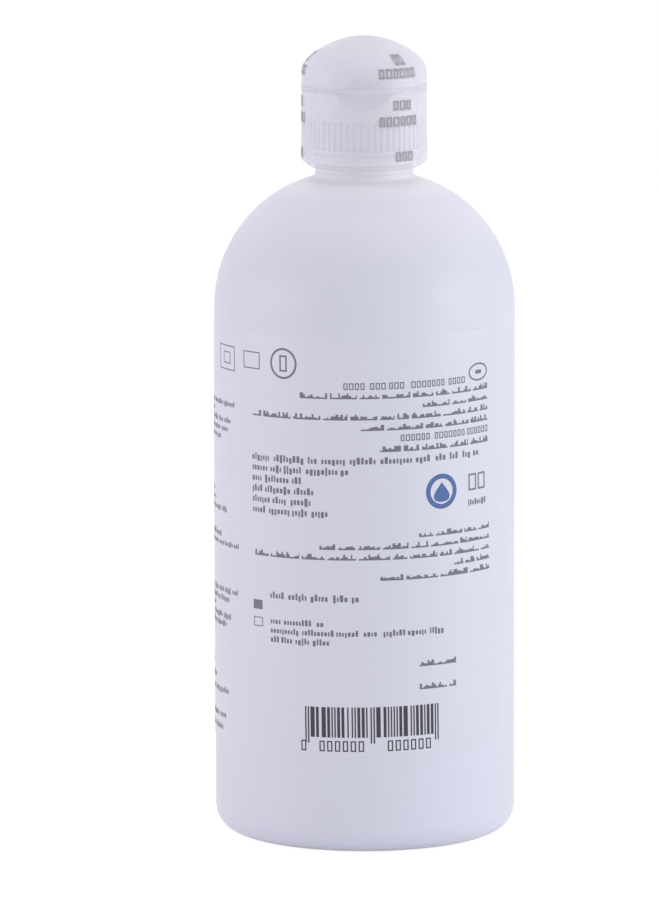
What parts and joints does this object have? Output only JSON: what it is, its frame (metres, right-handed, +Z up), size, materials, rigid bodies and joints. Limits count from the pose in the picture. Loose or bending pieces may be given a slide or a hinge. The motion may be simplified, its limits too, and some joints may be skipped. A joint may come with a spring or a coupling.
{
  "type": "lens solution bottle",
  "caption": "Round-shouldered squeeze bottle for lens solution, with a screw cap whose domed flip lid closes a drop nozzle, a clear tamper sleeve round the cap and a wrap-round label.",
  "frame": {"origin": "on the bottle's axis, at the plane its foot ring stands on", "axes": "+Z up the bottle's axis; -Y the front, where the cap's thumb scoop is; +Y the lid's hinge"},
  "size_m": [0.0701, 0.0702, 0.1866],
  "materials": {
    "bottle_plastic": "satin white moulded polyethylene",
    "cap_plastic": "satin white moulded polypropylene",
    "nozzle_plastic": "waxy natural polyethylene",
    "washer_foam": "white closed-cell foam",
    "sleeve_film": "clear shrink film",
    "label_film": "white printed film"
  },
  "bodies": {
    "bottle": {"bottle": "bottle_plastic", "nozzle_insert": "nozzle_plastic", "wrap_label": "label_film"},
    "washer": {"sealing_washer": "washer_foam"},
    "cap": {"cap_base": "cap_plastic", "hinge_webs": "cap_plastic", "hinge_strap": "cap_plastic", "sleeve_lower": "sleeve_film", "sleeve_hinge_film": "sleeve_film"},
    "lid": {"flip_lid": "cap_plastic", "sleeve_upper": "sleeve_film"}
  },
  "joints": [
    {"name": "cap_lift", "type": "slide", "parent": "bottle", "child": "washer", "axis": [0, 0, 1], "range_m": [0, 0.00476]},
    {"name": "cap_turn", "type": "hinge", "parent": "washer", "child": "cap", "pos_m": [0, 0, 0.165], "axis": [0, 0, 1], "range_deg": [0, 540.3]},
    {"name": "lid_flip", "type": "hinge", "parent": "cap", "child": "lid", "pos_m": [0, 0.01362, 0.175], "axis": [-1, 0, 0], "range_deg": [0, 150], "deforming": ["hinge_webs", "hinge_strap", "sleeve_hinge_film"]}
  ],
  "couplings": [
    {"joint": "cap_turn", "follows": "cap_lift", "rad_per_m": 1979}
  ]
}
